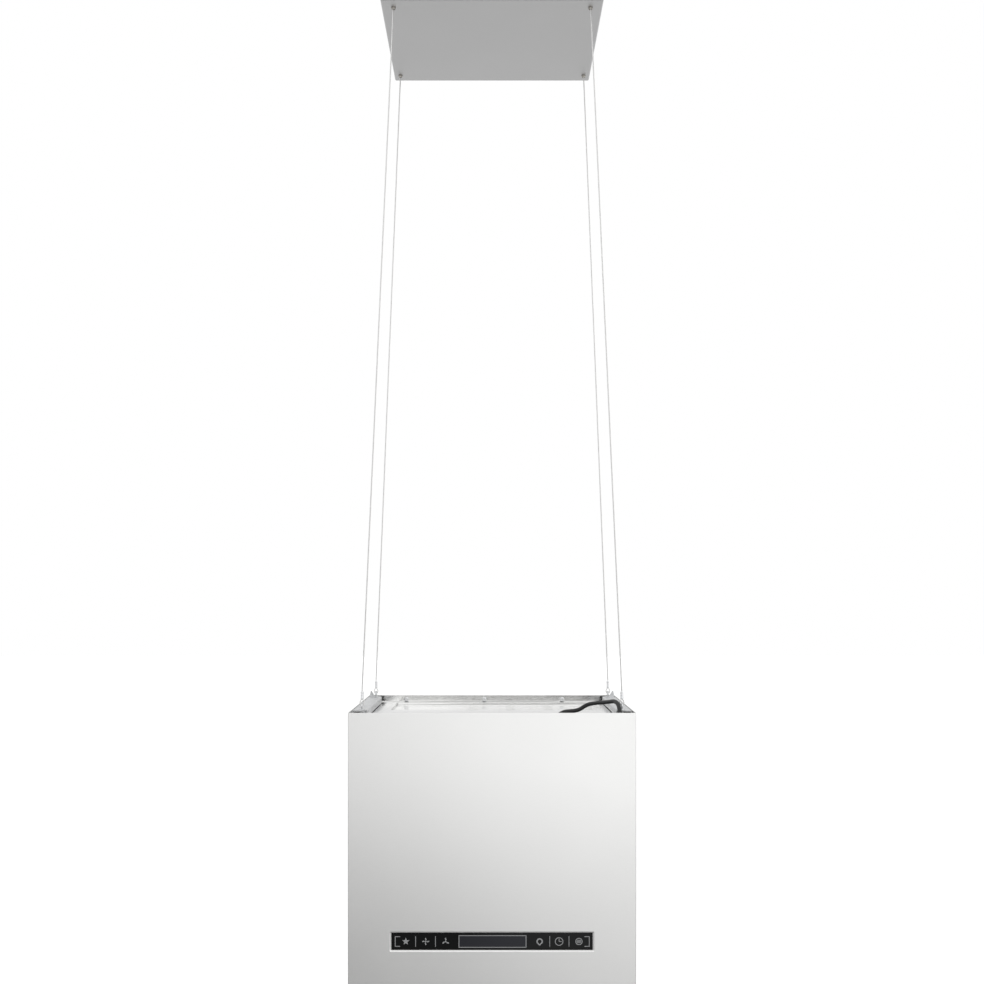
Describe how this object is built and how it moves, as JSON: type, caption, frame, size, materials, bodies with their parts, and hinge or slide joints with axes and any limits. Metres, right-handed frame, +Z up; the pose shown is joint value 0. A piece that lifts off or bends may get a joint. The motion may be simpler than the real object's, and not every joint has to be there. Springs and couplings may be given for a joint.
{
  "type": "hanging range hood",
  "caption": "Cubic recirculating range hood hung on four steel cables from a flat ceiling box, with a touch panel, top air outlet and drop-down grease filter.",
  "frame": {"origin": "centre of the ceiling plate's upper face, which lies on the ceiling", "axes": "+Z up, out of the mounting face into the ceiling; the control panel faces -Y; +X to the viewer's right"},
  "size_m": [0.37, 0.29, 1.336],
  "materials": {
    "brushed_shell": "fine vertical brushing",
    "cover_steel": "satin, matt below",
    "zinc_steel": "galvanised",
    "screw_steel": "bright zinc",
    "gripper_brass": "nickel plated",
    "wire_rope": "bright stranded",
    "ferrule_aluminium": "pressed",
    "motor_grey": "matt",
    "black_plastic": "fine grain",
    "carbon_fleece": "granular",
    "filter_aluminium": "bare",
    "metal_fleece": "woven wire",
    "lamp_glass": "frosted",
    "black_glass": "polished",
    "display_plastic": "gloss",
    "board_green": "satin",
    "grey_plastic": "fine grain",
    "black_rubber": "matt"
  },
  "bodies": {
    "ceiling": {"ceiling_plate": "zinc_steel", "ceiling_cover": "cover_steel", "cover_screws": "screw_steel", "cable_grippers": "gripper_brass", "cable_front_left": "wire_rope", "cable_front_right": "wire_rope", "cable_rear_left": "wire_rope", "cable_rear_right": "wire_rope"},
    "hood": {"cable_ferrules": "ferrule_aluminium", "cable_loops": "wire_rope", "cable_eyes": "screw_steel", "hanging_bracket_right": "zinc_steel", "hanging_bracket_left": "zinc_steel", "outer_shell": "brushed_shell", "hexagon_nuts": "screw_steel", "top_panel": "brushed_shell", "rim_screws": "screw_steel", "wiring_tray": "zinc_steel", "outlet_grille": "brushed_shell", "outlet_diffuser": "zinc_steel", "diffuser_screws": "screw_steel", "scroll_wrap": "zinc_steel", "scroll_side_right": "zinc_steel", "scroll_side_left": "zinc_steel", "inlet_ring_right": "zinc_steel", "inlet_ring_left": "zinc_steel", "shaft_bearings": "screw_steel", "motor_body": "motor_grey", "motor_bracket": "zinc_steel", "motor_screws": "screw_steel", "bottom_panel": "brushed_shell", "bottom_screws": "screw_steel", "lamp_bezels": "screw_steel", "lamp_lenses": "lamp_glass", "lamp_bodies": "filter_aluminium", "control_glass": "black_glass", "display_module": "display_plastic", "control_board": "board_green", "control_housing": "black_plastic", "power_box": "grey_plastic", "power_box_lid": "grey_plastic", "cord_gland": "black_plastic", "mains_lead": "black_rubber", "mains_lead_coil": "black_rubber", "lead_tie": "black_plastic", "mains_plug": "black_rubber"},
    "impeller": {"impeller_blades": "zinc_steel", "impeller_rings": "zinc_steel", "impeller_disc": "zinc_steel", "motor_shaft": "screw_steel"},
    "carbon_right": {"carbon_filter_right": "black_plastic", "carbon_pad_right": "carbon_fleece"},
    "carbon_left": {"carbon_filter_left": "black_plastic", "carbon_pad_left": "carbon_fleece"},
    "grease_filter": {"grease_filter_frame": "filter_aluminium", "grease_filter_mesh": "filter_aluminium", "grease_filter_core": "metal_fleece", "latch_housing": "black_plastic", "latch_springs": "screw_steel"},
    "filter_latch": {"filter_latch": "black_plastic"}
  },
  "joints": [
    {"name": "height_adjust", "type": "slide", "parent": "ceiling", "child": "hood", "axis": [0, 0, 1], "range_m": [0, 0.4], "deforming": ["cable_front_left", "cable_front_right", "cable_rear_left", "cable_rear_right"]},
    {"name": "impeller_spin", "type": "hinge", "parent": "hood", "child": "impeller", "pos_m": [0, 0, -1.122], "axis": [1, 0, 0], "continuous": true},
    {"name": "carbon_right_twist", "type": "hinge", "parent": "hood", "child": "carbon_right", "pos_m": [0.08, 0, -1.122], "axis": [1, 0, 0], "range_deg": [0, 20]},
    {"name": "carbon_left_twist", "type": "hinge", "parent": "hood", "child": "carbon_left", "pos_m": [-0.08, 0, -1.122], "axis": [1, 0, 0], "range_deg": [0, 20]},
    {"name": "grease_filter_tilt", "type": "hinge", "parent": "hood", "child": "grease_filter", "pos_m": [0, 0.1245, -1.3324], "axis": [1, 0, 0], "range_deg": [0, 70]},
    {"name": "filter_latch_slide", "type": "slide", "parent": "grease_filter", "child": "filter_latch", "axis": [0, 1, 0], "range_m": [0, 0.005], "stiffness_N_per_m": 600, "springref_m": -0.003, "deforming": ["latch_springs"]}
  ]
}
